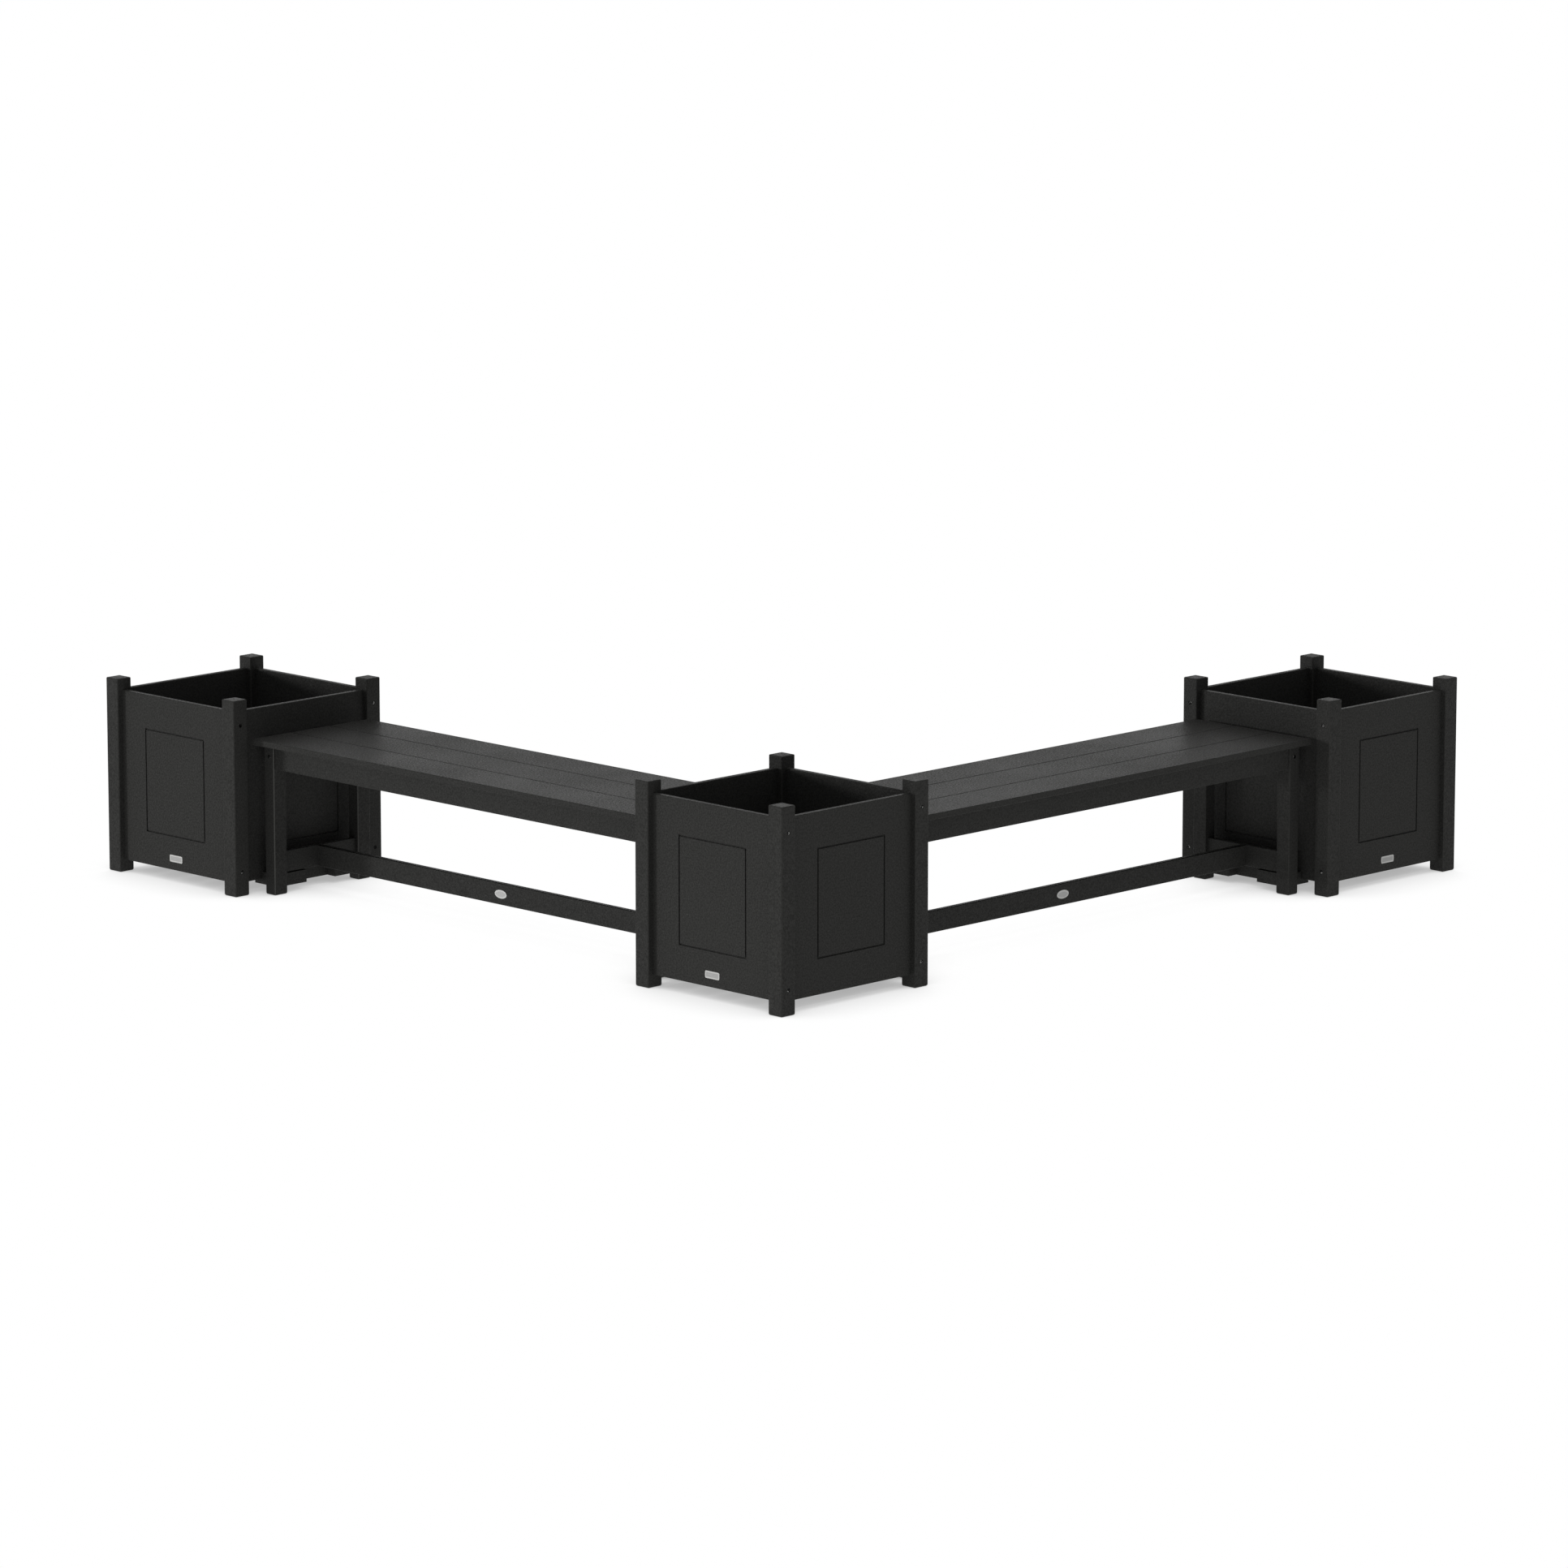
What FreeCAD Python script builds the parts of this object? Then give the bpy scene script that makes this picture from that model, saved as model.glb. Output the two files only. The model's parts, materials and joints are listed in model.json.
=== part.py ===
import FreeCAD, Part
import os

# Corner bench with planters: two long park benches at a right angle, set between three square planter
# boxes. Everything is plain plastic lumber, screwed together, and every board is a separate solid.
# Millimetres, +Z up. The corner planter is at low X and low Y. One bench and its planter run along +Y
# (the left ones, seen from the outer corner), the others along +X (the right ones).

# Lumber stock
board_thickness = 16.0
board_edge_radius = 2.0
post_edge_radius = 3.0
foot_edge_radius = 5.0

# Planter box: four corner posts, four panels let in between them, a slatted floor on cleats
planter_side = 525.5
planter_height = 534.0
post_side = 48.0
panel_ground_gap = 33.5
post_top_stand = 32.0
panel_setback = 16.0
cleat_height = 30.0
slat_count = 5
slat_gap = 6.0
slat_end_clearance = 1.0

# Routed rectangle on every panel, measured from the panel's ends and edges to the groove's centre line
groove_width = 4.5
groove_depth = 4.0
groove_side_margin = 96.0
groove_bottom_margin = 94.0
groove_top_margin = 94.5

# Bench: three seat boards on two aprons, four legs, end rails and one long stretcher
bench_length = 1524.0
bench_end_gap = 8.5
seat_height = 426.5
seat_board_count = 3
seat_board_width = 137.0
seat_board_gap = 1.6
leg_width = 44.5
leg_depth = 38.0
leg_end_inset = 9.0
leg_side_inset = 35.0
apron_height = 66.5
apron_setback = 5.0
rail_ground_gap = 56.5
rail_height = 58.0
tenon_length = 12.0
tenon_shoulder = 3.0
tenon_clearance = 0.2
batten_count = 4
batten_width = 60.0

# Link under each planter that meets a bench: two layers of board, with ears that fit between the legs
link_half_width = 154.5
link_ear_reach = 46.0
link_notch_reach = 14.0
link_notch_half_width = 51.0
link_back_reach = 46.0
link_clearance = 0.5
link_low_thickness = 14.0
link_high_thickness = 20.0

# Screws: round heads sunk in round pockets
screw_head_radius = 4.8
screw_head_height = 3.0
screw_socket_width = 3.5
screw_socket_depth = 1.8
screw_shank_radius = 2.2
screw_tip_length = 4.0
screw_clearance = 0.15
pocket_radius = 5.5
pocket_depth = 4.0
long_screw_length = 66.0
apron_screw_length = 52.0
short_screw_length = 27.0
seat_screw_length = 22.0
panel_screw_bottom_margin = 33.0
panel_screw_top_margin = 36.5
apron_screw_spacing = 30.0
stretcher_screw_spacing = 24.0
seat_screw_edge_margin = 30.0
cleat_screw_end_margin = 40.0
link_screw_spacing = 90.0
link_ear_screw_inset = 10.0

# Bare metal plates: a small rectangle on each planter and an oval on each stretcher
label_width = 51.0
label_height = 19.0
label_corner_radius = 2.5
label_thickness = 1.0
label_centre_height = 65.5
badge_width = 45.0
badge_height = 23.0
badge_thickness = 1.2
badge_offset = 3.0

X = FreeCAD.Vector(1, 0, 0)
Y = FreeCAD.Vector(0, 1, 0)
Z = FreeCAD.Vector(0, 0, 1)

# Sizes that follow from the ones above
panel_top = planter_height - post_top_stand
seat_underside = seat_height - board_thickness
seat_width = seat_board_count * seat_board_width + (seat_board_count - 1) * seat_board_gap
planter_pitch = planter_side + bench_length + 2 * bench_end_gap
overall_side = planter_pitch + planter_side
panel_inner_face = panel_setback + board_thickness
leg_middle = leg_end_inset + leg_depth / 2
leg_inner_end = leg_end_inset + leg_depth
rail_outer_face = leg_middle - board_thickness / 2
rail_inner_face = leg_middle + board_thickness / 2
leg_inner_side = leg_side_inset + leg_width
rail_middle_height = rail_ground_gap + rail_height / 2
apron_middle_height = seat_underside - apron_height / 2

pieces = {}
cutters = {}


class Frame:
    """A place to build in: u runs along the work, v across it and z up. Both are level directions."""

    def __init__(self, origin, u, v):
        self.origin = origin
        self.u = u
        self.v = v

    def point(self, u, v, z):
        return self.origin + self.u * u + self.v * v + Z * z

    def box(self, u_span, v_span, z_span):
        a = self.point(u_span[0], v_span[0], z_span[0])
        b = self.point(u_span[1], v_span[1], z_span[1])
        low = FreeCAD.Vector(min(a.x, b.x), min(a.y, b.y), min(a.z, b.z))
        return Part.makeBox(abs(a.x - b.x), abs(a.y - b.y), abs(a.z - b.z), low)

    def board(self, u_span, v_span, z_span, radius, along=None):
        return ease(self.box(u_span, v_span, z_span), radius, along)


def ease(solid, radius, along=None):
    """Rounds a board's arrises: all of them, or only those that run along one direction."""
    chosen = []
    for edge in solid.Edges:
        run = edge.Vertexes[1].Point - edge.Vertexes[0].Point
        if along is None or abs(run.normalize().dot(along)) > 0.99:
            chosen.append(edge)
    box = solid.BoundBox
    thinnest = min(box.XLength, box.YLength, box.ZLength)
    return solid.makeFillet(min(radius, 0.45 * thinnest), chosen)


def upright(frame, u_span, v_span, height, top_shows):
    """A post or a leg. Its foot is rounded first, and more than its other arrises."""
    solid = frame.box(u_span, v_span, (0, height))
    thinnest = min(solid.BoundBox.XLength, solid.BoundBox.YLength)
    foot = [edge for edge in solid.Edges if edge.BoundBox.ZMax < 0.001]
    solid = solid.makeFillet(min(foot_edge_radius, 0.3 * thinnest), foot)
    rest = []
    for edge in solid.Edges:
        run = edge.Vertexes[1].Point - edge.Vertexes[0].Point
        at_top = top_shows and edge.BoundBox.ZMin > height - 0.001
        if at_top or abs(run.normalize().dot(Z)) > 0.99:
            rest.append(edge)
    return solid.makeFillet(min(post_edge_radius, 0.2 * thinnest), rest)


def add(name, solid):
    pieces.setdefault(name, []).append(solid)


def bore(names, cutter):
    """Notes a cutter for every piece that it passes through. All of them are cut at the end."""
    for name in names:
        cutters.setdefault(name, []).append(cutter)


def screw(group, through, place, direction, length):
    """One screw: its head sits on the floor of a round pocket, pocket_depth below the surface at place."""
    seat = place + direction * pocket_depth
    shank = Part.makeCylinder(screw_shank_radius, length - screw_tip_length, seat, direction)
    tip_start = seat + direction * (length - screw_tip_length)
    tip = Part.makeCone(screw_shank_radius, screw_shank_radius / 4, screw_tip_length, tip_start, direction)
    head = Part.makeCylinder(screw_head_radius, screw_head_height, seat, direction * -1)
    crown = [edge for edge in head.Edges if edge.CenterOfMass.distanceToPoint(seat) > screw_head_height / 2]
    crown = [edge for edge in crown if edge.Closed]
    head = head.makeFillet(screw_head_height / 3, crown)
    side = direction.cross(Z)
    if side.Length < 0.5:
        side = X
    top = seat - direction * screw_head_height
    corners = []
    for turn in range(7):
        spin = FreeCAD.Rotation(direction, 60.0 * turn)
        corners.append(top + spin.multVec(side) * (screw_socket_width / 2))
    socket = Part.Face(Part.makePolygon(corners)).extrude(direction * screw_socket_depth)
    add(group, head.cut(socket).fuse([shank, tip]).removeSplitter())
    hole = Part.makeCylinder(screw_shank_radius + screw_clearance, length + screw_clearance, seat, direction)
    pocket = Part.makeCylinder(pocket_radius, pocket_depth, place, direction)
    bore(through, pocket.fuse(hole))


def sides(origin):
    """The four faces of a planter. Each frame starts at a bottom corner, u along the face, v inwards."""
    far_x = origin + X * planter_side
    far_y = origin + Y * planter_side
    return {
        "front_left": Frame(origin, Y, X),
        "front_right": Frame(origin, X, Y),
        "back_right": Frame(far_x, Y, X * -1),
        "back_left": Frame(far_y, X, Y * -1),
    }


def panel(face):
    """A panel between two posts, its long edges eased and a rectangle routed in its outer face."""
    ends = (post_side, planter_side - post_side)
    depth = (panel_setback, panel_inner_face)
    body = face.board(ends, depth, (panel_ground_gap, panel_top), board_edge_radius, face.u)
    low_u = ends[0] + groove_side_margin
    high_u = ends[1] - groove_side_margin
    low_z = panel_ground_gap + groove_bottom_margin
    high_z = panel_top - groove_top_margin
    half = groove_width / 2
    cut_depth = (panel_setback, panel_setback + groove_depth)
    outer = face.box((low_u - half, high_u + half), cut_depth, (low_z - half, high_z + half))
    inner = face.box((low_u + half, high_u - half), cut_depth, (low_z + half, high_z - half))
    return body.cut(outer.cut(inner))


def planter(name, origin, screwed_faces, linked_faces, label_face):
    faces = sides(origin)
    posts = {"front": (0, 0), "left": (0, 1), "right": (1, 0), "back": (1, 1)}
    world = Frame(origin, X, Y)
    step = planter_side - post_side
    for corner, (i, j) in posts.items():
        u_span = (i * step, i * step + post_side)
        v_span = (j * step, j * step + post_side)
        add(f"{name}_post_{corner}", upright(world, u_span, v_span, planter_height, True))
    for side, face in faces.items():
        add(f"{name}_panel_{side}", panel(face))
        cleat_ends = (post_side, planter_side - post_side)
        cleat_depth = (panel_inner_face, panel_inner_face + board_thickness)
        cleat_top = panel_ground_gap + cleat_height
        add(f"{name}_floor_cleats", face.box(cleat_ends, cleat_depth, (panel_ground_gap, cleat_top)))
        for u in (cleat_ends[0] + cleat_screw_end_margin, cleat_ends[1] - cleat_screw_end_margin):
            place = face.point(u, cleat_depth[1], panel_ground_gap + cleat_height / 2)
            through = [f"{name}_floor_cleats", f"{name}_panel_{side}"]
            screw("planter_screws", through, place, face.v * -1, short_screw_length - pocket_depth)
    floor_slats(name, world)
    for side in screwed_faces:
        panel_screws(name, side, faces[side])
    for side in linked_faces:
        link(name, side, faces[side])
    label(faces[label_face])


def floor_slats(name, world):
    """Boards along X with drain gaps, laid on the two cleats across their ends."""
    low = panel_inner_face + slat_end_clearance
    room = planter_side - 2 * post_side
    width = (room - (slat_count + 1) * slat_gap) / slat_count
    z = panel_ground_gap + cleat_height
    for i in range(slat_count):
        v = post_side + slat_gap + i * (width + slat_gap)
        u_span = (low, planter_side - low)
        z_span = (z, z + board_thickness)
        add(f"{name}_floor_slats", world.board(u_span, (v, v + width), z_span, board_edge_radius, X))


def panel_screws(name, side, face):
    """Four screws through the posts into both ends of one panel, near its top and its bottom."""
    touching = {"front_left": ("front", "left"), "front_right": ("front", "right"),
                "back_right": ("right", "back"), "back_left": ("left", "back")}[side]
    heights = (panel_ground_gap + panel_screw_bottom_margin, panel_top - panel_screw_top_margin)
    for post, u, direction in ((touching[0], 0, face.u), (touching[1], planter_side, face.u * -1)):
        for z in heights:
            place = face.point(u, post_side / 2, z)
            through = [f"{name}_post_{post}", f"{name}_panel_{side}"]
            screw("planter_screws", through, place, direction, long_screw_length)


def link(name, side, face):
    """Two layers of board under the panel. Their ears reach out between the legs of the bench."""
    middle = planter_side / 2
    shoulder = -(bench_end_gap + leg_end_inset - link_clearance)
    ear_half_width = seat_width / 2 - leg_inner_side - link_clearance
    node = f"{name}_link_boards"
    top = panel_ground_gap
    lower = (top - link_low_thickness, top, link_back_reach)
    upper = (top, top + link_high_thickness, panel_setback)
    for low_z, high_z, back in (lower, upper):
        z_span = (low_z, high_z)
        wide = face.box((middle - link_half_width, middle + link_half_width), (shoulder, back), z_span)
        ears = face.box((middle - ear_half_width, middle + ear_half_width), (-link_ear_reach, back), z_span)
        notch_sides = (middle - link_notch_half_width, middle + link_notch_half_width)
        notch = face.box(notch_sides, (-link_ear_reach, -link_notch_reach), z_span)
        add(node, wide.fuse(ears).cut(notch).removeSplitter())
    cleat_middle = panel_inner_face + board_thickness / 2
    ear_screw_u = link_notch_half_width + link_ear_screw_inset
    ear_screw_v = -(link_ear_reach - link_ear_screw_inset)
    for sign in (-1, 1):
        into_cleat = face.point(middle + sign * link_screw_spacing / 2, cleat_middle, top - link_low_thickness)
        screw("planter_screws", [node, f"{name}_floor_cleats"], into_cleat, Z, short_screw_length)
        into_ear = face.point(middle + sign * ear_screw_u, ear_screw_v, top - link_low_thickness)
        screw("planter_screws", [node], into_ear, Z, seat_screw_length)


def label(face):
    """A bare plate with rounded corners, stuck to the panel below the routed rectangle."""
    u_span = ((planter_side - label_width) / 2, (planter_side + label_width) / 2)
    v_span = (panel_setback - label_thickness, panel_setback)
    z_span = (label_centre_height - label_height / 2, label_centre_height + label_height / 2)
    plate = face.box(u_span, v_span, z_span)
    corners = [edge for edge in plate.Edges if abs(edge.Length - label_thickness) < 0.001]
    add("label_plates", plate.makeFillet(label_corner_radius, corners))


def bench(name, frame):
    legs(name, frame)
    seat_boards(name, frame)
    aprons(name, frame)
    end_rails(name, frame)
    stretcher(name, frame)
    battens(name, frame)


def mirrored(low, high, whole):
    """The same span counted from the other end."""
    return (whole - high, whole - low)


def legs(name, frame):
    u_low = (leg_end_inset, leg_inner_end)
    v_low = (leg_side_inset, leg_inner_side)
    for end, u_span in (("near", u_low), ("far", mirrored(*u_low, bench_length))):
        for v_span in (v_low, mirrored(*v_low, seat_width)):
            add(f"{name}_legs_{end}", upright(frame, u_span, v_span, seat_underside, False))


def seat_boards(name, frame):
    for i in range(seat_board_count):
        v = i * (seat_board_width + seat_board_gap)
        v_span = (v, v + seat_board_width)
        z_span = (seat_underside, seat_height)
        add(f"{name}_seat_board_{i + 1}", frame.board((0, bench_length), v_span, z_span, board_edge_radius))


def aprons(name, frame):
    """Long boards on edge under the seat, butted between the legs and screwed through them."""
    v = leg_side_inset + apron_setback
    v_low = (v, v + board_thickness)
    u_span = (leg_inner_end, bench_length - leg_inner_end)
    z_span = (seat_underside - apron_height, seat_underside)
    for side, v_span in (("outer", v_low), ("inner", mirrored(*v_low, seat_width))):
        add(f"{name}_apron_{side}", frame.board(u_span, v_span, z_span, board_edge_radius, frame.u))
        middle = (v_span[0] + v_span[1]) / 2
        ends = (("near", leg_end_inset, 1), ("far", bench_length - leg_end_inset, -1))
        for end, u, sense in ends:
            for sign in (-1, 1):
                place = frame.point(u, middle, apron_middle_height + sign * apron_screw_spacing / 2)
                through = [f"{name}_legs_{end}", f"{name}_apron_{side}"]
                screw("bench_screws", through, place, frame.u * sense, apron_screw_length)


def end_rails(name, frame):
    """Two rails across each end: one under the seat, screwed, and a low one tenoned into the legs."""
    u_low = (rail_outer_face, rail_inner_face)
    v_span = (leg_inner_side, seat_width - leg_inner_side)
    upper_z = (seat_underside - apron_height, seat_underside)
    lower_z = (rail_ground_gap, rail_ground_gap + rail_height)
    for end, u_span in (("near", u_low), ("far", mirrored(*u_low, bench_length))):
        middle = (u_span[0] + u_span[1]) / 2
        add(f"{name}_upper_end_rails", frame.board(u_span, v_span, upper_z, board_edge_radius, frame.v))
        for v, sense in ((leg_side_inset, 1), (seat_width - leg_side_inset, -1)):
            place = frame.point(middle, v, apron_middle_height)
            through = [f"{name}_legs_{end}", f"{name}_upper_end_rails"]
            screw("bench_screws", through, place, frame.v * sense, long_screw_length)
        body = frame.board(u_span, v_span, lower_z, board_edge_radius, frame.v)
        tenon = (v_span[0] - tenon_length, v_span[1] + tenon_length)
        tenon_u = (u_span[0] + tenon_shoulder, u_span[1] - tenon_shoulder)
        tenon_z = (lower_z[0] + tenon_shoulder, lower_z[1] - tenon_shoulder)
        add(f"{name}_lower_end_rails", body.fuse(frame.box(tenon_u, tenon, tenon_z)).removeSplitter())
        wide = tenon_clearance
        mortise_v = (tenon[0] - wide, tenon[1] + wide)
        mortise_u = (tenon_u[0] - wide, tenon_u[1] + wide)
        mortise_z = (tenon_z[0] - wide, tenon_z[1] + wide)
        bore([f"{name}_legs_{end}"], frame.box(mortise_u, mortise_v, mortise_z))


def stretcher(name, frame):
    """One long board on edge between the low end rails, with a bare oval plate at its middle."""
    v_span = ((seat_width - board_thickness) / 2, (seat_width + board_thickness) / 2)
    u_span = (rail_inner_face, bench_length - rail_inner_face)
    z_span = (rail_ground_gap, rail_ground_gap + rail_height)
    add(f"{name}_stretcher", frame.board(u_span, v_span, z_span, board_edge_radius, frame.u))
    for u, sense in ((rail_outer_face, 1), (bench_length - rail_outer_face, -1)):
        for sign in (-1, 1):
            z = rail_middle_height + sign * stretcher_screw_spacing / 2
            place = frame.point(u, seat_width / 2, z)
            through = [f"{name}_lower_end_rails", f"{name}_stretcher"]
            screw("bench_screws", through, place, frame.u * sense, apron_screw_length)
    middle = frame.point(bench_length / 2 + badge_offset, v_span[0], rail_middle_height)
    outline = Part.Ellipse(FreeCAD.Vector(), badge_width / 2, badge_height / 2).toShape()
    disc = Part.Face(Part.Wire([outline])).extrude(Z * badge_thickness)
    # The disc is drawn lying flat, long along X, then stood up with its back on the stretcher
    stand = FreeCAD.Rotation(frame.u, Z, frame.v * -1, "ZXY")
    disc.Placement = FreeCAD.Placement(middle, stand)
    add("stretcher_badges", disc)


def battens(name, frame):
    """Flat boards across the underside of the seat, screwed up into every seat board. The first and the
    last lie against the legs."""
    inset = leg_side_inset + apron_setback + board_thickness
    v_span = (inset, seat_width - inset)
    z_span = (seat_underside - board_thickness, seat_underside)
    first = leg_inner_end + batten_width / 2
    pitch = (bench_length - 2 * first) / (batten_count - 1)
    for i in range(batten_count):
        u = first + i * pitch
        u_span = (u - batten_width / 2, u + batten_width / 2)
        add(f"{name}_seat_battens", frame.board(u_span, v_span, z_span, board_edge_radius, frame.v))
        for k in range(seat_board_count):
            low_v = max(k * (seat_board_width + seat_board_gap), inset)
            high_v = min(k * (seat_board_width + seat_board_gap) + seat_board_width, seat_width - inset)
            for v in (low_v + seat_screw_edge_margin, high_v - seat_screw_edge_margin):
                place = frame.point(u, v, z_span[0])
                through = [f"{name}_seat_battens", f"{name}_seat_board_{k + 1}"]
                screw("seat_screws", through, place, Z, seat_screw_length)


def cut_holes():
    for name, tools in cutters.items():
        done = []
        for solid in pieces[name]:
            near = [tool for tool in tools if tool.BoundBox.intersect(solid.BoundBox)]
            done.append(solid.cut(near) if near else solid)
        pieces[name] = done


def write_steps():
    os.makedirs("parts", exist_ok=True)
    for name, group in pieces.items():
        solids = []
        for shape in group:
            solids += shape.Solids
        whole = solids[0] if len(solids) == 1 else Part.makeCompound(solids)
        whole.exportStep(f"parts/{name}.step")
    print(len(pieces), "nodes", sum(len(group) for group in pieces.values()), "solids")


# The origin is on the ground, under the middle of the square that the L-shaped set fills
corner = FreeCAD.Vector(-overall_side / 2, -overall_side / 2, 0)
bench_start = planter_side + bench_end_gap
bench_inset = (planter_side - seat_width) / 2

left_place = corner + Y * planter_pitch
right_place = corner + X * planter_pitch

planter("corner_planter", corner, ["front_left", "back_right"], ["back_left", "back_right"], "front_left")
planter("left_planter", left_place, ["front_left", "back_right"], ["front_right"], "front_left")
planter("right_planter", right_place, ["front_right", "back_left"], ["front_left"], "front_right")
bench("left_bench", Frame(corner + Y * bench_start + X * bench_inset, Y, X))
bench("right_bench", Frame(corner + X * bench_start + Y * bench_inset, X, Y))
cut_holes()
write_steps()
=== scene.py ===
# %% [markdown]
# A corner bench with planters
#
# Two long benches meet at a right angle, between three square planter boxes: one at the corner and one
# at each end. All of it is near-black plastic lumber, screwed together. The boards, posts and screws
# come from the frame with their real shapes, so this lesson is about three other things: the finish of
# moulded plastic lumber, the small metal plates, and a plain white studio.

# %% Load the frame
import json
import math

import bmesh
import bpy
from mathutils import Matrix, Vector


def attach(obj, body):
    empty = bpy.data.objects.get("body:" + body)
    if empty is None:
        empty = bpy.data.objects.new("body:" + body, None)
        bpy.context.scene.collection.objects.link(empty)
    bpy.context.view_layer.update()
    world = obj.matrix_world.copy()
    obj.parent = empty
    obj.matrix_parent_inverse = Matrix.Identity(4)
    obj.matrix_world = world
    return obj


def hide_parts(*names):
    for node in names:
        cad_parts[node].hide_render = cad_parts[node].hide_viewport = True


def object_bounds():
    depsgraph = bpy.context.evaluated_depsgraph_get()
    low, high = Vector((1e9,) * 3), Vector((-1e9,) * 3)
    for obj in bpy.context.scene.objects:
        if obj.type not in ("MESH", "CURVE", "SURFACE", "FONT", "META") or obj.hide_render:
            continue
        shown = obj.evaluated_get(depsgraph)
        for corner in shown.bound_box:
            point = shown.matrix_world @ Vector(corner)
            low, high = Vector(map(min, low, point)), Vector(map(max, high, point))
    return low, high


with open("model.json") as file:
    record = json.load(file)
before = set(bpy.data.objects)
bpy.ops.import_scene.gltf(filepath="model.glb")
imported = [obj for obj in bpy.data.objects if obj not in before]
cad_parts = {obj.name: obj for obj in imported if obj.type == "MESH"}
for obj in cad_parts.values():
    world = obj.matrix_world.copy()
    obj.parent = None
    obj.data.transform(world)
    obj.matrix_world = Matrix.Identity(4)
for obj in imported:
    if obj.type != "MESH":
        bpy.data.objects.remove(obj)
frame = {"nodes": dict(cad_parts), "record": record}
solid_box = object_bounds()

nodes = frame["nodes"]
print(len(nodes), "nodes in the frame")

# %% [markdown]
# The camera
#
# A long lens from far away gives the nearly parallel lines of a catalogue photograph. But for a plate
# and a few screws, the set is the same on both sides of the upright plane through the corner planter's
# front edge, and the camera stands in that plane. Its distance, height, tilt and lens are the ones that
# make the posts and boards fall where the photograph has them.

# %% Camera
low_corner = Vector(solid_box[0])
front_edge = Vector((low_corner.x, low_corner.y, 0.0))
camera_distance = 18.646
camera_height = 4.210
camera_heading = math.radians(44.983)
camera_tilt = math.radians(10.976)
focal_length_pixels = 9451.4
picture_side_pixels = 1932
sensor_side_mm = 36.0
farthest_seen = 200.0


def make_camera():
    data = bpy.data.cameras.new("studio_camera")
    data.sensor_width = sensor_side_mm
    data.lens = focal_length_pixels * sensor_side_mm / picture_side_pixels
    data.clip_end = farthest_seen
    camera = bpy.data.objects.new("studio_camera", data)
    back = camera_distance / math.sqrt(2)
    camera.location = front_edge + Vector((-back, -back, camera_height))
    camera.rotation_euler = (math.pi / 2 - camera_tilt, 0.0, camera_heading - math.pi / 2)
    bpy.context.scene.collection.objects.link(camera)
    bpy.context.scene.camera = camera
    return camera


camera = make_camera()
print("lens", round(camera.data.lens, 1), "mm")

# %% [markdown]
# Helpers for node materials
#
# A material is a graph of small steps, and written out in full it fills pages. With a few helpers each
# step is one line: connect fills a node's sockets, add_node adds a node and fills it, and the others
# make the steps that come back often.

# %% Nodes and their sockets


def connect(tree, node, **inputs):
    """Fills a node's sockets, named or numbered as i0, i1. Each gets a value or another node's output."""
    for key, value in inputs.items():
        socket = node.inputs[int(key[1:])] if key[1:].isdigit() else node.inputs[key.replace("_", " ")]
        if isinstance(value, bpy.types.NodeSocket):
            tree.links.new(value, socket)
        else:
            socket.default_value = value


def add_node(tree, kind, settings=None, **inputs):
    """Adds a node. settings are its properties, and the rest are its sockets."""
    node = tree.nodes.new(kind)
    for key, value in (settings or {}).items():
        setattr(node, key, value)
    connect(tree, node, **inputs)
    return node


def new_group(name, inputs, outputs):
    """A node group with number sockets of these names."""
    group = bpy.data.node_groups.new(name, "ShaderNodeTree")
    for labels, side in ((inputs, "INPUT"), (outputs, "OUTPUT")):
        for label in labels:
            group.interface.new_socket(label, in_out=side, socket_type="NodeSocketFloat")
    return group, group.nodes.new("NodeGroupInput"), group.nodes.new("NodeGroupOutput")


def new_material(name):
    material = bpy.data.materials.new(name)
    material.use_nodes = True
    tree = material.node_tree
    tree.nodes.clear()
    shader = add_node(tree, "ShaderNodeBsdfPrincipled")
    add_node(tree, "ShaderNodeOutputMaterial", Surface=shader.outputs["BSDF"])
    return material, tree, shader


print("helpers for nodes, groups and materials ready")

# %% Steps that come back often


def math_node(tree, operation, first, second=0.5, third=0.5, clamp=False):
    settings = {"operation": operation, "use_clamp": clamp}
    return add_node(tree, "ShaderNodeMath", settings, i0=first, i1=second, i2=third).outputs[0]


def spread(tree, value, low, high, to_low=0.0, to_high=1.0):
    """Stretches the part of a value between low and high over a new range."""
    sockets = {"From_Min": low, "From_Max": high, "To_Min": to_low, "To_Max": to_high}
    return add_node(tree, "ShaderNodeMapRange", {"clamp": True}, i0=value, **sockets).outputs["Result"]


def noise(tree, place, scale, detail, roughness=0.5):
    """Noise around 0.5. Its spots are about one part in scale of a metre wide."""
    sockets = {"Vector": place, "Scale": scale, "Detail": detail, "Roughness": roughness}
    return add_node(tree, "ShaderNodeTexNoise", **sockets).outputs["Fac"]


def object_place(tree):
    return add_node(tree, "ShaderNodeTexCoord").outputs["Object"]


def color_mix(tree, factor, first, second):
    return add_node(tree, "ShaderNodeMix", {"data_type": "RGBA"}, i0=factor, i6=first, i7=second).outputs[2]


def gray(level, blue):
    """A gray whose blue has its own level, a little lower where the gray is warm."""
    return (level, level, blue, 1.0)


print("helpers for the steps ready")

# %% [markdown]
# Orange-peel grain
#
# Moulded plastic lumber has a skin like orange peel: small round bumps a few millimetres apart, and a
# fine speckle between them. Real displacement would cost millions of faces, so the bumps go into a
# Bump node's height, and the speckle into the colour and the gloss. A slow cloud makes large areas
# differ a little. All three read Object coordinates, which are metres here, so the grain has its real
# size on every board.

# %% Orange-peel grain
clouds_per_metre = 3.0


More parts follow.
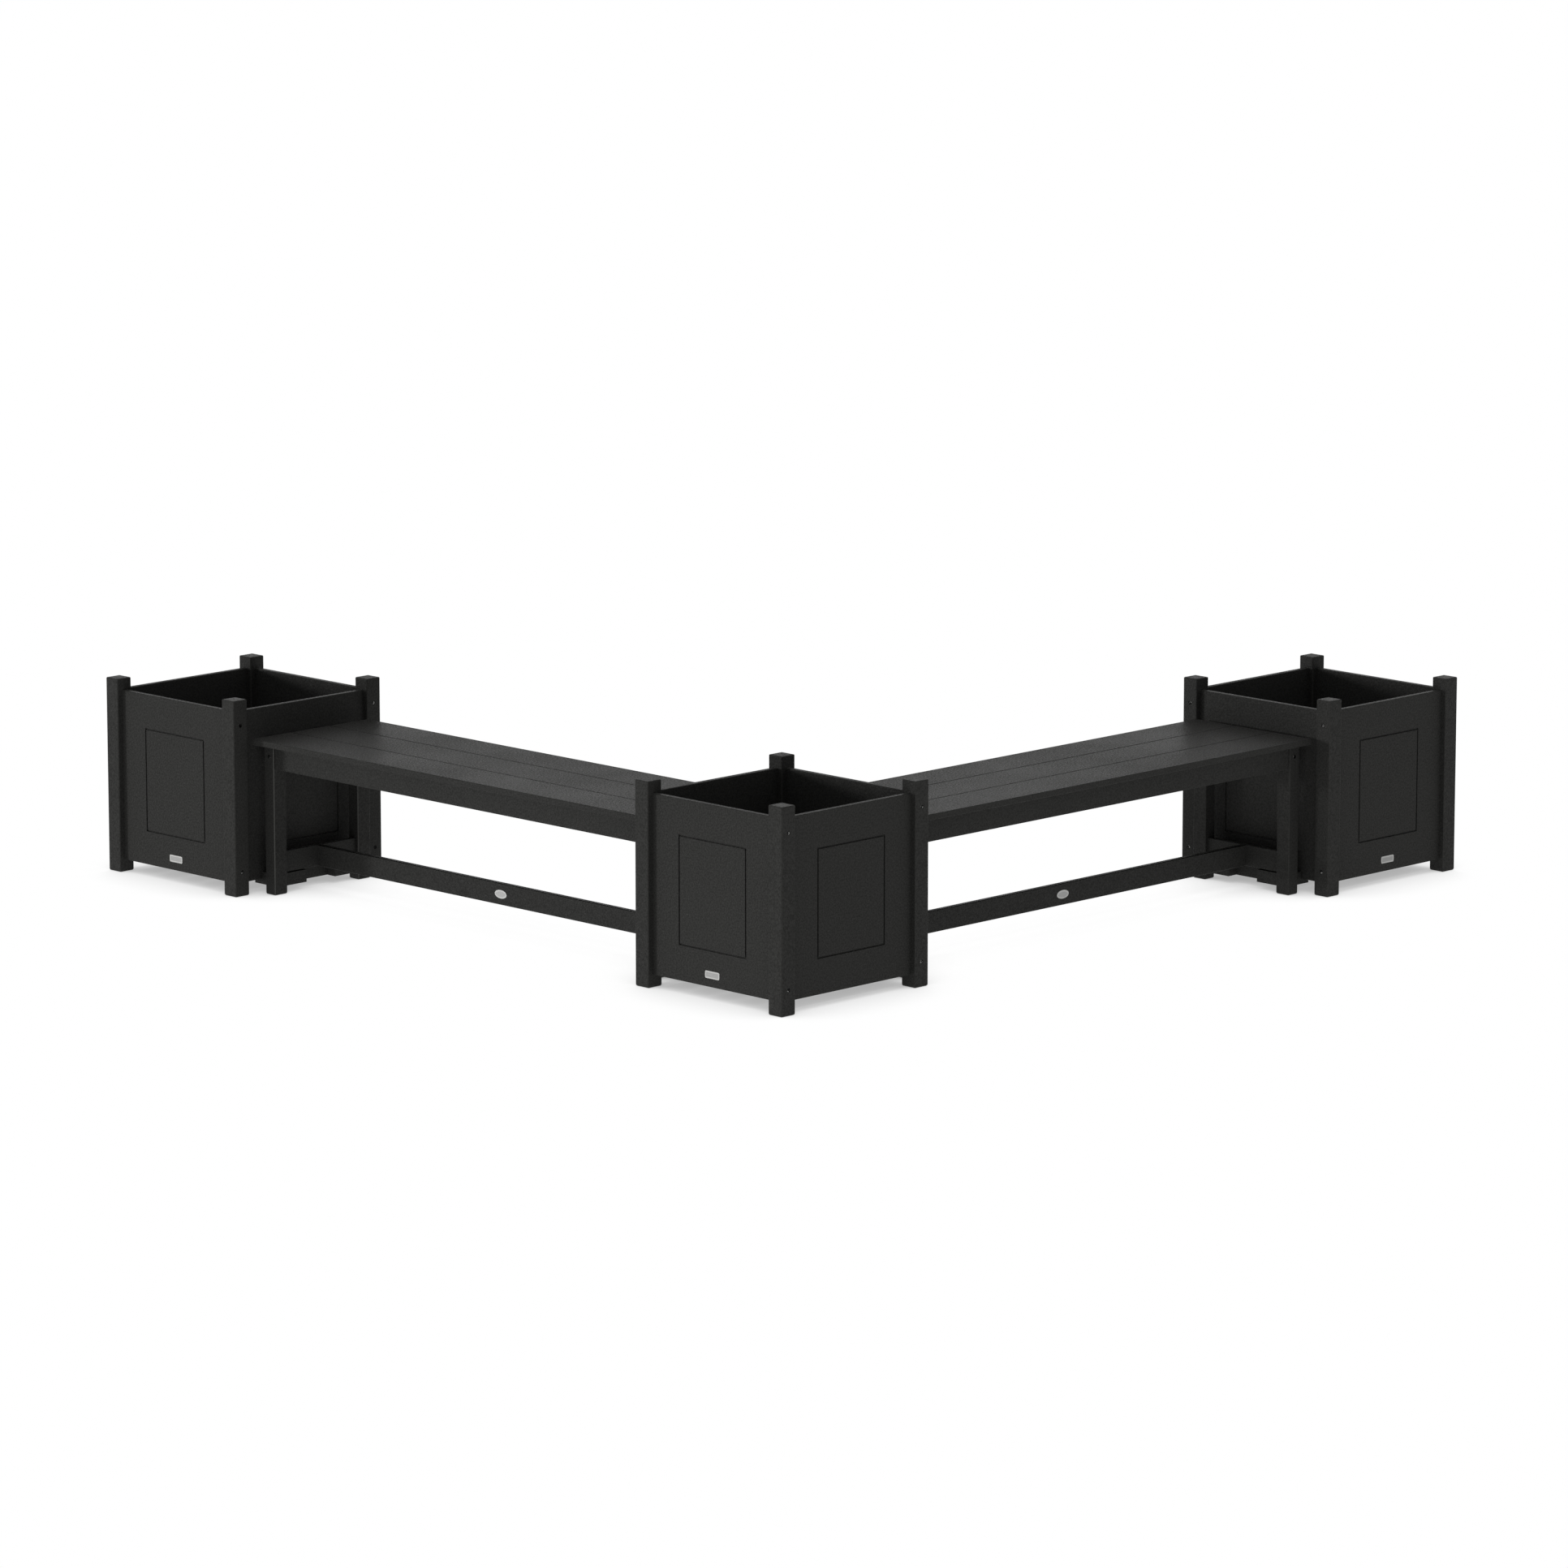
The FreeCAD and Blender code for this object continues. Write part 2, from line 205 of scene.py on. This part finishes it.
def make_grain_group():
    group, source, target = new_group(
        "orange_peel_grain", ("Peel Size", "Speckle Size"), ("Height", "Speckle", "Cloud")
    )
    place = object_place(group)
    peel_scale = math_node(group, "DIVIDE", 1.0, source.outputs["Peel Size"])
    speckle_scale = math_node(group, "DIVIDE", 1.0, source.outputs["Speckle Size"])
    connect(
        group, target,
        Height=noise(group, place, peel_scale, detail=2.0, roughness=0.55),
        Speckle=noise(group, place, speckle_scale, detail=1.0),
        Cloud=noise(group, place, clouds_per_metre, detail=3.0, roughness=0.6),
    )
    return group


grain_group = make_grain_group()
print("grain group has", len(grain_group.nodes), "nodes")

# %% [markdown]
# Arrises
#
# The arrises, the rounded edges where two faces of a board meet, don't look like the faces. Upright
# ones that point out of the corner of the L get a painted highlight: a little paler, and on the left
# bench's legs a good deal paler. The upper ones along the stretchers get painted shade and are darker.
# Every board lies along an axis, so a flat face points along X, Y or Z, and only an arris points
# between two of them: the normal is enough to find it. The group gives one mask for the painted
# highlight on the outer arrises, broken up by noise so that the pale line doesn't look drawn, and one
# for the painted shade on the upper arrises.

# %% Arrises
arris_normal = (0.93, 0.99)
pointing_out = (-0.3, -0.1)
pointing_up = (0.1, 0.3)
breaks_per_metre = 90.0


def make_arris_group():
    group, source, target = new_group("arrises", ("Breaks",), ("Outer", "Upper"))
    normal = add_node(group, "ShaderNodeNewGeometry").outputs["True Normal"]
    parts = add_node(group, "ShaderNodeSeparateXYZ", i0=normal).outputs
    x, y, z = (math_node(group, "ABSOLUTE", part) for part in parts)
    longest = math_node(group, "MAXIMUM", math_node(group, "MAXIMUM", x, y), z)
    arris = spread(group, longest, *arris_normal, 1.0, 0.0)

    breaks = noise(group, object_place(group), breaks_per_metre, detail=3.0)
    breaks = math_node(group, "MULTIPLY", breaks, source.outputs["Breaks"])
    broken = math_node(group, "SUBTRACT", arris, breaks, clamp=True)
    out_x = spread(group, parts["X"], *pointing_out, 1.0, 0.0)
    out_y = spread(group, parts["Y"], *pointing_out, 1.0, 0.0)
    out_both = math_node(group, "MINIMUM", out_x, out_y)

    sideways = math_node(group, "ADD", parts["X"], parts["Y"])
    out_either = spread(group, sideways, *pointing_out, 1.0, 0.0)
    out_and_up = math_node(group, "MULTIPLY", out_either, spread(group, parts["Z"], *pointing_up))
    # Outer is the mask of the painted highlight, Upper the mask of the painted shade
    connect(
        group, target,
        Outer=math_node(group, "MULTIPLY", broken, out_both),
        Upper=math_node(group, "MULTIPLY", arris, out_and_up),
    )
    return group


arris_group = make_arris_group()
print("arris group has", len(arris_group.nodes), "nodes")

# %% [markdown]
# Plastic lumber
#
# It is coloured all through, so it is one dark material everywhere. The grain moves its colour, its
# roughness and its normal, strongly enough to see from twenty metres through a long lens, as in the
# photograph. It comes in three versions that differ only at the arrises: one with a faint painted
# highlight on its outer arrises, one with a strong painted highlight on the left bench's legs, and one
# with dark painted shade on top of the stretchers.

# %% Plastic lumber
lumber_dark = gray(0.0228, 0.0217)
lumber_pale = gray(0.0362, 0.0345)
# painted highlight: pale colour laid on the outer arrises where light catches them
painted_highlight_color = gray(0.100, 0.095)
# painted shade: near-black colour laid on the upper arrises of the stretchers
painted_shade_color = gray(0.001, 0.001)
lumber_peel_size = 0.0040
lumber_speckle_size = 0.0044
peel_depth = 0.0013
lumber_roughness = (0.49, 0.59)
speckle_gloss = 0.25
lumber_specular = 0.024
noise_range = (0.3, 0.7)


def make_lumber(name, highlight_share, highlight_breaks, shade_share):
    material, tree, shader = new_material(name)
    sizes = {"Peel_Size": lumber_peel_size, "Speckle_Size": lumber_speckle_size}
    grain = add_node(tree, "ShaderNodeGroup", {"node_tree": grain_group}, **sizes).outputs
    arrises = add_node(tree, "ShaderNodeGroup", {"node_tree": arris_group}, Breaks=highlight_breaks).outputs
    speckle = spread(tree, grain["Speckle"], *noise_range)
    color = color_mix(tree, speckle, lumber_dark, lumber_pale)
    # painted highlight on the outer arrises, by the version's share
    highlit = math_node(tree, "MULTIPLY", arrises["Outer"], highlight_share)
    color = color_mix(tree, highlit, color, painted_highlight_color)
    # painted shade on the upper arrises, by the version's share
    shaded = math_node(tree, "MULTIPLY", arrises["Upper"], shade_share)
    color = color_mix(tree, shaded, color, painted_shade_color)
    cloudy = spread(tree, grain["Cloud"], *noise_range, *lumber_roughness)
    roughness = math_node(tree, "MULTIPLY_ADD", speckle, -speckle_gloss, cloudy)
    bump = add_node(tree, "ShaderNodeBump", Height=grain["Height"], Strength=1.0, Distance=peel_depth)
    connect(tree, shader, Base_Color=color, Roughness=roughness, Normal=bump.outputs["Normal"])
    connect(tree, shader, Specular_IOR_Level=lumber_specular)
    return material


# the versions differ in how much painted highlight and painted shade their arrises get
lumber = make_lumber("plastic_lumber", highlight_share=0.15, highlight_breaks=0.6, shade_share=0.0)
leg_lumber = make_lumber("plastic_lumber_highlit_arris", highlight_share=0.75, highlight_breaks=0.25, shade_share=0.0)
stretcher_lumber = make_lumber("plastic_lumber_shaded_arris", highlight_share=0.15, highlight_breaks=0.6, shade_share=1.0)
print("made", lumber.name, "and", leg_lumber.name, "and", stretcher_lumber.name)

# %% [markdown]
# Black screws
#
# The screws are steel with a thin black coat. Driving them in has worn it off some of the heads, and
# bare steel glints there. A picture of worn heads would need a map for each, so the same grain as the
# lumber's, several millimetres wide, uncovers the steel on some heads and leaves others black.

# %% Black screws
black_coat = gray(0.003, 0.003)
worn_steel = gray(0.22, 0.215)
screw_peel_size = 0.0060
screw_speckle_size = 0.0008
worn_range = (0.50, 0.56)
screw_roughness = (0.22, 0.36)
screw_metallic = 0.9


def make_screw_finish():
    material, tree, shader = new_material("black_screw")
    sizes = {"Peel_Size": screw_peel_size, "Speckle_Size": screw_speckle_size}
    grain = add_node(tree, "ShaderNodeGroup", {"node_tree": grain_group}, **sizes).outputs
    color = color_mix(tree, spread(tree, grain["Height"], *worn_range), black_coat, worn_steel)
    roughness = spread(tree, grain["Speckle"], *noise_range, *screw_roughness)
    connect(tree, shader, Base_Color=color, Roughness=roughness, Metallic=screw_metallic)
    return material


screw_finish = make_screw_finish()
print("made", screw_finish.name)

# %% [markdown]
# Bare metal
#
# The plates are thin aluminium, brushed along their length and left bare. The brushing is a noise
# squeezed along the upright axis, so that its spots become level lines. Rim and field differ only in
# how bright the metal is.

# %% Bare metal
brush_squeeze = 40.0
brush_scale = 60.0
brush_strength = 0.2
brush_depth = 0.0001
plate_roughness = (0.56, 0.66)
plate_metallic = 0.4


def make_plate_finish(name, dull, bright):
    material, tree, shader = new_material(name)
    place = object_place(tree)
    squeeze = add_node(tree, "ShaderNodeMapping", Vector=place, Scale=(1.0, 1.0, brush_squeeze))
    lines = noise(tree, squeeze.outputs["Vector"], brush_scale, detail=4.0)
    color = color_mix(tree, spread(tree, lines, *noise_range), dull, bright)
    roughness = spread(tree, lines, *noise_range, *plate_roughness)
    bump = add_node(tree, "ShaderNodeBump", Height=lines, Strength=brush_strength, Distance=brush_depth)
    connect(tree, shader, Base_Color=color, Roughness=roughness, Normal=bump.outputs["Normal"])
    connect(tree, shader, Metallic=plate_metallic)
    return material


label_rim_finish = make_plate_finish("bare_label_rim", gray(0.40, 0.39), gray(0.48, 0.47))
label_field_finish = make_plate_finish("bare_label_field", gray(0.24, 0.235), gray(0.35, 0.345))
badge_rim_finish = make_plate_finish("bare_badge_rim", gray(0.44, 0.43), gray(0.52, 0.51))
badge_field_finish = make_plate_finish("bare_badge_field", gray(0.325, 0.32), gray(0.41, 0.405))
print("made four finishes for plates")

# %% [markdown]
# Finishes on the frame's own pieces
#
# Each node in the record names a material slot, and the slot picks the finish. Only the legs of the
# left bench, with their strong painted highlight, and the stretchers, with painted shade on their upper
# arrises, have their own version of the lumber.

# %% Finishes on the frame's own pieces
finish_of_slot = {"plastic_lumber": lumber, "black_screw": screw_finish, "bare_plate": label_rim_finish}
slot_of_node = {row["node"]: row["material_slot"] for row in frame["record"]["subparts"]}


def finish_for(name):
    if name.startswith("left_bench_legs"):
        return leg_lumber
    if name.endswith("_stretcher"):
        return stretcher_lumber
    return finish_of_slot[slot_of_node[name]]


def finish_nodes():
    for name, node in nodes.items():
        if not node.material_slots:
            node.data.materials.append(finish_for(name))
        for slot in node.material_slots:
            slot.material = finish_for(name)


finish_nodes()
print("finished", len(nodes), "nodes")

# %% [markdown]
# Where the plates are
#
# The frame has plain flat plates: a small rectangle on each planter, and an oval label, here called a
# badge, on each stretcher. Their new versions go exactly where the plain ones are, so their places and
# sizes are measured on the frame's meshes and not written down again.

# %% Where the plates are


def islands(node):
    """Boxes of a node's separate solids, found by walking from face to face."""
    mesh = bmesh.new()
    mesh.from_mesh(node.data)
    bmesh.ops.remove_doubles(mesh, verts=mesh.verts, dist=1e-6)
    left = set(mesh.verts)
    boxes = []
    while left:
        stack = [left.pop()]
        found = list(stack)
        while stack:
            for edge in stack.pop().link_edges:
                for vert in edge.verts:
                    if vert in left:
                        left.discard(vert)
                        stack.append(vert)
                        found.append(vert)
        low = Vector((min(vert.co[axis] for vert in found) for axis in range(3)))
        high = Vector((max(vert.co[axis] for vert in found) for axis in range(3)))
        boxes.append((low, high))
    mesh.free()
    return sorted(boxes, key=lambda pair: tuple(round(value, 4) for value in pair[0]))


def plate_frame(low, high):
    """A matrix that takes a plate drawn flat (long side along x, face along +z) to its place."""
    size = high - low
    thin = 0 if size.x < size.y else 1
    out = Vector((-1, 0, 0)) if thin == 0 else Vector((0, -1, 0))
    up = Vector((0, 0, 1))
    matrix = Matrix((up.cross(out), up, out)).transposed().to_4x4()
    matrix.translation = (low + high) / 2 - out * (size[thin] / 2)
    return matrix, size[1 - thin], size.z, size[thin]


label_boxes = islands(nodes["label_plates"])
badge_boxes = islands(nodes["stretcher_badges"])
print(len(label_boxes), "label plates and", len(badge_boxes), "badges")

# %% [markdown]
# The plates
#
# Up close the badges have a raised rim round a sunk field, and the rectangles a pressed border. A
# texture could only paint that, so both are shaped, and both in the same way: an outline is extruded,
# its face is inset to leave the rim, and then inset again and pushed back for the field. A small bevel
# rounds the rim, so that it catches light. The corners of the rectangles have a radius larger than
# both insets together, because a smaller one would fold over itself.

# %% The plates
badge_outline_segments = 64
label_corner_radius = 0.0038
label_corner_segments = 6
rim_share = 0.17
field_sink = 0.0004
rim_round = 0.00022
rim_round_segments = 2


def draw_outline(mesh, width, height, corner_radius):
    """A flat rectangle with rounded corners, or an oval where corner_radius is None."""
    if corner_radius is None:
        bmesh.ops.create_circle(mesh, cap_ends=True, segments=badge_outline_segments, radius=0.5)
    else:
        bmesh.ops.create_grid(mesh, x_segments=1, y_segments=1, size=0.5)
    bmesh.ops.scale(mesh, verts=mesh.verts, vec=(width, height, 1.0))
    if corner_radius is not None:
        bmesh.ops.bevel(
            mesh, geom=list(mesh.verts), offset=corner_radius, segments=label_corner_segments,
            profile=0.5, affect="VERTICES", material=-1,
        )


def new_piece(name, mesh):
    """Turns a bmesh into an object in the scene."""
    data = bpy.data.meshes.new(name)
    mesh.to_mesh(data)
    mesh.free()
    piece = bpy.data.objects.new(name, data)
    bpy.context.scene.collection.objects.link(piece)
    return piece


print("outline and piece helpers ready")

# %% Building the plates


def make_plate(name, low, high, corner_radius, finishes):
    matrix, width, height, thickness = plate_frame(low, high)
    mesh = bmesh.new()
    draw_outline(mesh, width, height, corner_radius)
    extruded = bmesh.ops.extrude_face_region(mesh, geom=list(mesh.faces))["geom"]
    field = next(item for item in extruded if isinstance(item, bmesh.types.BMFace))
    bmesh.ops.translate(mesh, verts=list(field.verts), vec=(0, 0, thickness))
    bmesh.ops.inset_region(mesh, faces=[field], thickness=height * rim_share, depth=0.0)
    bmesh.ops.inset_region(mesh, faces=[field], thickness=field_sink, depth=-field_sink)
    bmesh.ops.recalc_face_normals(mesh, faces=mesh.faces)
    field.material_index = 1
    mesh.transform(matrix)
    plate = new_piece(name, mesh)
    for finish in finishes:
        plate.data.materials.append(finish)
    bevel = plate.modifiers.new("rounded_rim", "BEVEL")
    bevel.width = rim_round
    bevel.segments = rim_round_segments
    bevel.limit_method = "ANGLE"
    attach(plate, "root")
    return plate


label_finishes = (label_rim_finish, label_field_finish)
labels = [
    make_plate(f"label_plate_{number}", low, high, label_corner_radius, label_finishes)
    for number, (low, high) in enumerate(label_boxes, 1)
]
badge_finishes = (badge_rim_finish, badge_field_finish)
badges = [
    make_plate(f"stretcher_badge_{number}", low, high, None, badge_finishes)
    for number, (low, high) in enumerate(badge_boxes, 1)
]
for plate in labels:
    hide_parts("label_plates")
for badge in badges:
    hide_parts("stretcher_badges")
print("made", len(labels), "label plates and", len(badges), "badges")

# %% [markdown]
# The studio
#
# The background is pure white, but the object must not be lit harder to get it. So the world and the
# floor look white to the camera, in reflections and through clear things, and to all other rays they
# give a plain light at a lower level. The floor still shows the object's shadow. Where something
# stands near, ambient occlusion takes part of the plain white away, and the floor's lit surface, which
# is darker, shows through.

# %% World
white = gray(1.0, 1.0)
world_light = 0.334


def seen_ray(tree):
    """One for rays from the camera and for reflections and clear rays, else zero."""
    path = add_node(tree, "ShaderNodeLightPath").outputs
    seen = math_node(tree, "ADD", path["Is Camera Ray"], path["Is Glossy Ray"])
    return math_node(tree, "ADD", seen, path["Is Transmission Ray"], clamp=True)


def make_world():
    world = bpy.data.worlds.new("studio_world")
    world.use_nodes = True
    tree = world.node_tree
    tree.nodes.clear()
    strength = spread(tree, seen_ray(tree), 0.0, 1.0, world_light, 1.0)
    background = add_node(tree, "ShaderNodeBackground", Color=white, Strength=strength)
    add_node(tree, "ShaderNodeOutputWorld", Surface=background.outputs["Background"])
    bpy.context.scene.world = world
    return world


world = make_world()
print("made", world.name)

# %% Floor
floor_half_side = 60.0
floor_color = gray(0.8, 0.8)
floor_roughness = 0.9
floor_light = 0.684
shadow_reach = 0.30
shadow_samples = 16
fully_open = 0.8
deepest_white_share = 0.36


def make_floor_finish():
    material, tree, shader = new_material("studio_floor")
    seen = seen_ray(tree)
    own_light = spread(tree, seen, 0.0, 1.0, floor_light, 0.0)
    connect(tree, shader, Base_Color=floor_color, Roughness=floor_roughness, Specular_IOR_Level=0.0)
    connect(tree, shader, Emission_Color=white, Emission_Strength=own_light)
    glow = add_node(tree, "ShaderNodeEmission", Color=white, Strength=1.0).outputs["Emission"]
    samples = {"samples": shadow_samples}
    opening = add_node(tree, "ShaderNodeAmbientOcclusion", samples, Distance=shadow_reach).outputs["AO"]
    white_share = spread(tree, opening, 0.0, fully_open, deepest_white_share, 1.0)
    share = math_node(tree, "MULTIPLY", seen, white_share)
    mix = add_node(tree, "ShaderNodeMixShader", i0=share, i1=shader.outputs["BSDF"], i2=glow)
    connect(tree, tree.nodes["Material Output"], Surface=mix.outputs[0])
    return material


def make_floor():
    mesh = bmesh.new()
    bmesh.ops.create_grid(mesh, x_segments=1, y_segments=1, size=floor_half_side)
    floor = new_piece("studio_floor", mesh)
    floor.data.materials.append(make_floor_finish())
    return floor


floor = make_floor()
print(floor.name, floor_half_side * 2, "m wide")

# %% [markdown]
# Soft lamps
#
# Besides the world and the floor there are two soft distant lamps. One shines from straight above. A
# low one stands on the left, so the left faces are brighter than the right ones, and the ends of the
# benches, where a planter stands in its way, stay dark. Area lamps near the set would do too, but they
# light its ends unevenly, and a distant lamp has only a direction, a width and a strength to set.

# %% Lamps


def add_lamp(name, heading, height, angle, strength):
    """A soft distant lamp. heading is counted from +X towards +Y, height from the ground, in degrees."""
    data = bpy.data.lights.new(name, "SUN")
    data.angle = math.radians(angle)
    data.energy = strength
    lamp = bpy.data.objects.new(name, data)
    level = math.cos(math.radians(height))
    turn = math.radians(heading)
    towards = Vector((level * math.cos(turn), level * math.sin(turn), math.sin(math.radians(height))))
    lamp.rotation_euler = towards.to_track_quat("Z", "Y").to_euler()
    bpy.context.scene.collection.objects.link(lamp)
    return lamp


top_lamp = add_lamp("top_lamp", heading=0.0, height=90.0, angle=24.0, strength=0.43)
left_lamp = add_lamp("left_lamp", heading=135.0, height=4.0, angle=8.0, strength=1.24)
print("lamps", top_lamp.name, left_lamp.name)

# %% [markdown]
# Picture settings
#
# Standard shows each colour as it is written. The other settings stay as Blender has them.

# %% Picture settings
bpy.context.scene.view_settings.view_transform = "Standard"
print("view transform", bpy.context.scene.view_settings.view_transform)

# %% [markdown]
# Sizes and finish
#
# The looks must not change the size of the set.

# %% Sizes and finish
print("scene ready")
